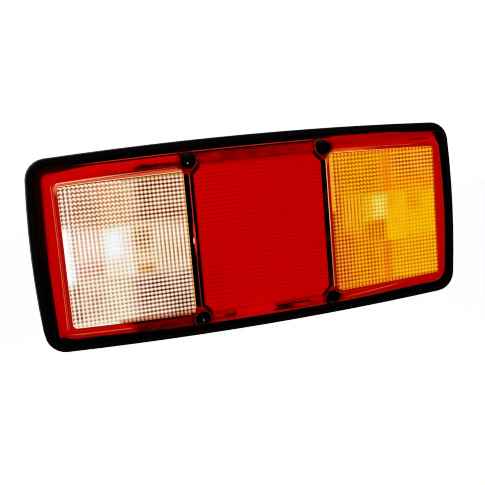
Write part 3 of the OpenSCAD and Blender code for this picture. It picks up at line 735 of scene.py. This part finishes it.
def optic_material(name, s, side, look, areas, walls, rims, far):
    """Pillow optics, with painted shade in lines between the pillows and in dots where the lines cross.
    look is that of the whole window, walls the colour of its sides, rims the lines of light along its
    top, and far how much of them reaches the right end."""
    g = Finish(name)
    # The window's own axes, and the place on a pillow: 0 in its middle, 1 at its edge
    across = g.minus(g.x, side * 0.5 * (s.window_in + s.window_out) / MM)
    pitch = (s.window_out - s.window_in - 2.0 * s.border) / MM / s.columns
    column = g.over(g.minus(g.times(g.x, float(side)), (s.window_in + s.border) / MM), pitch)
    part = g.line(g.math("FRACT", column), 2.0, -1.0)
    # The rows tilt in the upper left corner
    tilt = g.times(g.box(across, g.z, (-31.0, 4.0, 9.0, 40.0), 5.0), 0.17 * side)
    row = g.plus(g.over(g.z, pitch), g.times(part, tilt))
    beside = g.either_way(part)
    over = g.either_way(g.line(g.math("FRACT", row), 2.0, -1.0))
    for sides, soft, *colours, depths in areas:
        mask = g.box(across, g.z, sides, soft)
        change = [tone(*c) for c in colours] + [depths]
        look = [g.mix(mask, old, new) for old, new in zip(look, change)]
    light, line, dot, depths = look
    dots, levels, uprights = g.add("ShaderNodeSeparateColor", None, Color=depths).outputs
    uneven = g.step(g.noise(110.0, 3.0), 0.25, 0.75, 0.75, 1.15)
    level = g.times(g.step(over, 0.3, 0.9), levels, uneven)
    upright = g.times(g.step(beside, 0.3, 0.9), uprights, uneven)
    clear_of = g.times(g.minus(1.0, level), g.minus(1.0, upright))
    base = g.mix(g.minus(1.0, g.larger(clear_of, 0.0)), light, line)
    crossing = g.times(g.step(beside, 0.2, 0.8), g.step(over, 0.2, 0.8), dots, uneven)
    base = g.mix(g.math("MINIMUM", crossing, 1.0), base, dot)
    bow = g.times(g.squared(g.x), s.bow / MM / (s.half_width / MM) ** 2)
    edge = g.plus(g.plus(g.z, bow), g.step(across, -30.0, 25.0, 0.0, 0.8 * far))
    for low, high, shade in rims:
        lit = g.times(g.band(edge, low, high, 0.08), g.step(across, -16.0, 6.0, 1.0, far))
        base = g.mix(lit, base, tone(*shade))
    face = -s.face / MM
    base = g.mix(g.step(g.y, face + 0.62, face + 0.8), base, tone(*walls))
    return g.surface(
        Base_Color=base,
        Roughness=0.25,
        Specular_IOR_Level=0.03,
        # Emission paints a faint glow over the whole window
        Emission_Color=base,
        Emission_Strength=0.15,
    )


def clear_optic_material(s):
    look = (s.clear, tone(*TAN), tone(*BROWN), (0.6, 0.5, 0.4))
    return optic_material("clear_optic", s, -1, look, CLEAR_AREAS, (150, 80, 54), CLEAR_RIMS, 1.0)


def amber_optic_material(s):
    look = (s.amber, tone(*ORANGE), tone(*AMBER_DOT_SHADE), (0.7, 0.5, 0.4))
    return optic_material("amber_optic", s, 1, look, AMBER_AREAS, (166, 22, 4), AMBER_RIMS, 0.0)


# Meshes of the two windows

# How far the lip's back lies behind the face, the thickness of lip and body, and the corners
LIP_BACK = 3.8 * MM
LIP_THICKNESS = 1.2 * MM
BODY_THICKNESS = 2.25 * MM
OUTER_RADIUS = 2.2 * MM
INNER_CUT = 3.2 * MM
SIDE_POINTS = 8
# Steps of the rounded edge and the plain border: how far in, and how far forward, in millimetres
EDGE_STEPS = ((0.06, 0.12), (0.10, 0.10), (0.14, 0.05), (0.15, 0.0), (0.10, -0.15), (0.05, -0.45))
# Faces along a pillow, the depth and the place of those in front of the bulb, and the field's rim
FACETS = 4
PATCH_SHARE = 0.6
PATCH_BACK = 0.12 * MM
SKIRT = 0.7 * MM
WELD = 0.02 * MM


def window_edge(s, x, grow):
    """Half the height of a window at x"""
    return s.window_height + grow - s.bow * (x / s.half_width) ** 2


def window_outline(s, grow):
    """Points around the window on the right, grown by grow: cut inner corners and round outer ones"""
    x0 = s.window_in - grow
    x1 = s.window_out + grow
    radius = OUTER_RADIUS + grow
    cut = INNER_CUT + 0.4 * grow
    upper = [(x0, window_edge(s, x0, grow) - cut)]
    for i in range(SIDE_POINTS + 1):
        x = x0 + cut + (x1 - radius - x0 - cut) * i / SIDE_POINTS
        upper.append((x, window_edge(s, x, grow)))
    z = window_edge(s, x1 - radius, grow) - radius
    for degrees in (72, 54, 36, 18, 0):
        angle = math.radians(degrees)
        upper.append((x1 - radius + radius * math.cos(angle), z + radius * math.sin(angle)))
    return upper + [(x, -z) for x, z in reversed(upper)]


def shift(bm, faces, dy):
    """Moves faces along Y"""
    verts = list({v for f in faces for v in f.verts})
    bmesh.ops.translate(bm, verts=verts, vec=(0.0, dy, 0.0))


def raise_face(bm, face, dy):
    """Extrudes one face along Y and gives back the new one"""
    made = bmesh.ops.extrude_discrete_faces(bm, faces=[face])["faces"]
    shift(bm, made, dy)
    return made[0]


def optic_mesh(s, side):
    """A window: lip, body with a rounded edge, plain border, and a field of pillows"""
    bm = bmesh.new()
    points = [(side * x, z) for x, z in window_outline(s, s.lip)]
    if side > 0:
        points.reverse()
    verts = [bm.verts.new((x, -s.face + LIP_BACK, z)) for x, z in points]
    back = bmesh.ops.contextual_create(bm, geom=verts)["faces"][0]
    front = raise_face(bm, back, -LIP_THICKNESS)
    bmesh.ops.inset_region(bm, faces=[front], thickness=s.lip, use_even_offset=True)
    front = raise_face(bm, front, -BODY_THICKNESS)
    for inset, rise in EDGE_STEPS:
        bmesh.ops.inset_region(bm, faces=[front], thickness=inset * MM, use_even_offset=True)
        shift(bm, [front], -rise * MM)
    for f in bm.faces:
        f.smooth = False
    for f in pillow_field(bm, s, side):
        f.smooth = True
    bmesh.ops.recalc_face_normals(bm, faces=bm.faces)
    return bm


def dome(t):
    """Fall of a pillow at t pillows along a row: 0 in its middle and 1 at its edge"""
    part = t - math.floor(t + 1e-9)
    return (2.0 * part - 1.0) ** 2


def pillow_field(bm, s, side):
    """Adds the pillows and gives their faces. Those in front of the bulb are flatter and further back"""
    across, up = s.columns * FACETS, s.rows * FACETS
    made = bmesh.ops.create_grid(bm, x_segments=across, y_segments=up, size=0.5)["verts"]
    x0 = s.window_in + s.border
    x1 = s.window_out - s.border
    pitch = (x1 - x0) / s.columns
    middle = 0.5 * (s.window_in + s.window_out)
    half = 0.5 * s.patch
    for v in made:
        a, b = v.co.x + 0.5, v.co.y + 0.5
        x = x0 + (x1 - x0) * a
        top = window_edge(s, x, 0.0) - s.border
        z = max(-top, min(top, (b - 0.5) * s.rows * pitch))
        on_patch = abs(x - middle) < half and abs(z) < half
        depth = s.pillow_depth * (PATCH_SHARE if on_patch else 1.0)
        back = PATCH_BACK if on_patch else 0.0
        fall = depth * 0.5 * (dome(a * s.columns) + dome(z / pitch))
        v.co = Vector((side * x, -s.face + back + fall, z))
    bmesh.ops.dissolve_degenerate(bm, dist=WELD, edges=list({e for v in made for e in v.link_edges}))
    made = [v for v in made if v.is_valid]
    faces = list({f for v in made for f in v.link_faces})
    rim = list({e for v in made for e in v.link_edges if e.is_boundary})
    skirt = bmesh.ops.extrude_edge_only(bm, edges=rim)["geom"]
    verts = [part for part in skirt if isinstance(part, bmesh.types.BMVert)]
    bmesh.ops.translate(bm, verts=verts, vec=(0.0, SKIRT, 0.0))
    return faces


def add_piece(name, bm, material, nodes):
    """Makes a piece of the lamp that stands for CAD nodes"""
    mesh = bpy.data.meshes.new(name)
    bm.to_mesh(mesh)
    bm.free()
    mesh.materials.append(material)
    obj = bpy.data.objects.new(name, mesh)
    bpy.context.scene.collection.objects.link(obj)
    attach(obj, "root")
    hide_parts(*nodes)


class LAMP_OT_clear_optic(bpy.types.Operator):
    """Adds the clear reversing window"""

    bl_idname = "lamp.clear_optic"
    bl_label = "Add Clear Optic"

    def execute(self, context):
        s = settings()
        mesh, look = optic_mesh(s, -1), clear_optic_material(s)
        add_piece("clear_optic", mesh, look, ["reverse_lens"])
        return {"FINISHED"}


class LAMP_OT_amber_optic(bpy.types.Operator):
    """Adds the amber indicator window"""

    bl_idname = "lamp.amber_optic"
    bl_label = "Add Amber Optic"

    def execute(self, context):
        s = settings()
        mesh, look = optic_mesh(s, 1), amber_optic_material(s)
        add_piece("amber_optic", mesh, look, ["indicator_lens"])
        return {"FINISHED"}


class LAMP_OT_finishes(bpy.types.Operator):
    """Gives every piece that keeps its CAD mesh a material, by its slot"""

    bl_idname = "lamp.finishes"
    bl_label = "Apply Finishes"

    def execute(self, context):
        s = settings()
        even = (1.0, 1.0, 1.0)
        finish = {
            "black_plastic": moulded_black(s),
            "pad_rubber": rubber("pad_rubber_look", 0.03),
            "grommet_rubber": rubber("grommet_look", 0.045),
            "seal_rubber": rubber("seal_look", 0.02),
            "washer_rubber": rubber("washer_look", 0.012),
            "red_acrylic": red_moulding(s),
            "zinc_steel": plated("zinc_look", (0.62, 0.63, 0.65), 0.28, (1.0, 18.0, 1.0), 0.1),
            "screw_steel": screw_black("screw_look"),
            "strip_brass": plated("strip_look", (0.72, 0.50, 0.20), 0.30, (12.0, 1.0, 1.0), 0.15),
            "contact_brass": plated("contact_look", (0.80, 0.58, 0.25), 0.24),
            "rivet_alloy": plated("rivet_look", (0.75, 0.75, 0.74), 0.35, even),
            "disc_fibre": fibre("fibre_look", (0.20, 0.09, 0.03)),
            "bright_plate": plated("reflector_look", (0.90, 0.90, 0.92), 0.08, even),
            "socket_plate": plated("socket_look", (0.68, 0.69, 0.70), 0.30, (1.0, 12.0, 1.0), 0.05),
            "cap_plate": plated("cap_look", (0.72, 0.72, 0.73), 0.22, even),
            "bulb_glass": clear_glass("bulb_glass_look"),
            "filament_wire": plated("filament_look", (0.40, 0.40, 0.40), 0.45),
        }
        slots = {part["node"]: part["material_slot"] for part in frame["record"]["subparts"]}
        for name, obj in frame["nodes"].items():
            # The windows' slots aren't here, because new pieces stand for those nodes
            if slots[name] in finish:
                obj.data.materials.clear()
                obj.data.materials.append(finish[slots[name]])
        return {"FINISHED"}


# Camera, lights and room

SENSOR = 36.0
FLOOR_SIZE = 3.0
FLOOR_LEVEL = -0.35
PLAIN_WHITE = (1.0, 1.0, 1.0)


def camera_matrix(s):
    """Where the camera stands, from the lamp's turn and place in front of it"""
    rx, ry, rz = s.turn
    turn = Matrix.Rotation(rz, 3, "Z") @ Matrix.Rotation(rx, 3, "X") @ Matrix.Rotation(ry, 3, "Y")
    away = Vector((s.away[0], s.away[1], -s.away[2]))
    swap = Matrix(((1.0, 0.0, 0.0), (0.0, 0.0, -1.0), (0.0, 1.0, 0.0)))
    eye = swap @ (-(turn.transposed() @ away)) + Vector((0.0, -s.face, 0.0))
    axes = swap @ turn.transposed()
    return Matrix.Translation(eye) @ axes.to_4x4()


def add_camera(s):
    data = bpy.data.cameras.new("camera")
    data.lens = s.lens
    data.sensor_width = SENSOR
    data.clip_start = 0.01
    data.clip_end = 20.0
    camera = bpy.data.objects.new("camera", data)
    camera.matrix_world = camera_matrix(s)
    bpy.context.scene.collection.objects.link(camera)
    bpy.context.scene.camera = camera


def add_light(name, place, target, size, energy, tint=PLAIN_WHITE, tall=None):
    """An area light that points at its target, square unless it is given a height"""
    data = bpy.data.lights.new(name, "AREA")
    data.energy = energy
    data.color = tint
    data.size = size
    if tall:
        data.shape = "RECTANGLE"
        data.size_y = tall
    obj = bpy.data.objects.new(name, data)
    obj.location = place
    obj.rotation_euler = (Vector(target) - Vector(place)).to_track_quat("-Z", "Y").to_euler()
    bpy.context.scene.collection.objects.link(obj)


def floor_material():
    """White paint that the camera sees nearly white, with the lamp's soft shadow"""
    g = Finish("floor_paint")
    shade = g.mix(g.noise(400.0, 2.0), (0.80, 0.80, 0.80), (0.84, 0.84, 0.84))
    matt = g.add("ShaderNodeBsdfDiffuse", None, Color=shade)
    white = g.add("ShaderNodeEmission", None, Color=PLAIN_WHITE, Strength=1.12)
    g.finish_with("ShaderNodeOutputMaterial", g.times(g.seen_by_camera(), 0.85), matt, white)
    return g.mat


def add_floor():
    bm = bmesh.new()
    bmesh.ops.create_grid(bm, x_segments=8, y_segments=8, size=FLOOR_SIZE)
    bmesh.ops.translate(bm, verts=bm.verts, vec=(0.0, 0.0, FLOOR_LEVEL))
    mesh = bpy.data.meshes.new("floor")
    bm.to_mesh(mesh)
    bm.free()
    mesh.materials.append(floor_material())
    floor = bpy.data.objects.new("floor", mesh)
    bpy.context.scene.collection.objects.link(floor)


def white_world():
    """A soft pale room that the camera sees as white"""
    world = bpy.data.worlds.new("studio")
    bpy.context.scene.world = world
    world.use_nodes = True
    g = Graph(world.node_tree)
    room = g.add("ShaderNodeBackground", None, Color=(0.9, 0.93, 1.0), Strength=0.22)
    white = g.add("ShaderNodeBackground", None, Color=PLAIN_WHITE, Strength=1.0)
    g.finish_with("ShaderNodeOutputWorld", g.seen_by_camera(), room, white)


class LAMP_OT_stage(bpy.types.Operator):
    """Sets the camera, the lights, the white room and the floor"""

    bl_idname = "lamp.stage"
    bl_label = "Set Stage"

    def execute(self, context):
        s = settings()
        middle = (0.0, -s.face, 0.0)
        add_camera(s)
        add_light("key", (-0.75, -0.85, 0.75), middle, 0.7, s.key, (1.0, 0.98, 0.95))
        add_light("fill", (0.95, -0.55, 0.45), middle, 0.6, s.fill, (0.95, 0.97, 1.0))
        add_light("edge", (0.0, -0.30, 0.80), middle, 0.9, s.rim, tall=0.15)
        add_floor()
        white_world()
        context.scene.view_settings.view_transform = "Standard"
        # A narrow pixel filter keeps the fine lines of the optics crisp
        context.scene.cycles.filter_width = 1.0
        return {"FINISHED"}


class LAMP_PT_panel(bpy.types.Panel):
    """Sizes, colours and light of the lamp's look"""

    bl_idname = "LAMP_PT_panel"
    bl_label = "Rear Lamp"
    bl_space_type = "VIEW_3D"
    bl_region_type = "UI"
    bl_category = "Lamp"

    def draw(self, context):
        s = context.scene.lamp_look
        column = self.layout.column()
        for name in LampLookSettings.__annotations__:
            column.prop(s, name)
        for operator in OPERATORS:
            column.operator(operator.bl_idname)


OPERATORS = (LAMP_OT_clear_optic, LAMP_OT_amber_optic, LAMP_OT_finishes, LAMP_OT_stage)
CLASSES = (LampLookSettings, *OPERATORS, LAMP_PT_panel)


def register():
    for cls in CLASSES:
        bpy.utils.register_class(cls)
    bpy.types.Scene.lamp_look = PointerProperty(type=LampLookSettings)


def unregister():
    del bpy.types.Scene.lamp_look
    for cls in reversed(CLASSES):
        bpy.utils.unregister_class(cls)


def clear_startup():
    """Removes the objects that a new file starts with"""
    for name in ("Cube", "Light", "Camera"):
        obj = bpy.data.objects.get(name)
        if obj is not None:
            bpy.data.objects.remove(obj)


def main():
    clear_startup()
    register()
    bpy.ops.lamp.clear_optic()
    bpy.ops.lamp.amber_optic()
    bpy.ops.lamp.finishes()
    bpy.ops.lamp.stage()
    bpy.context.view_layer.update()


if __name__ == "__main__":
    main()
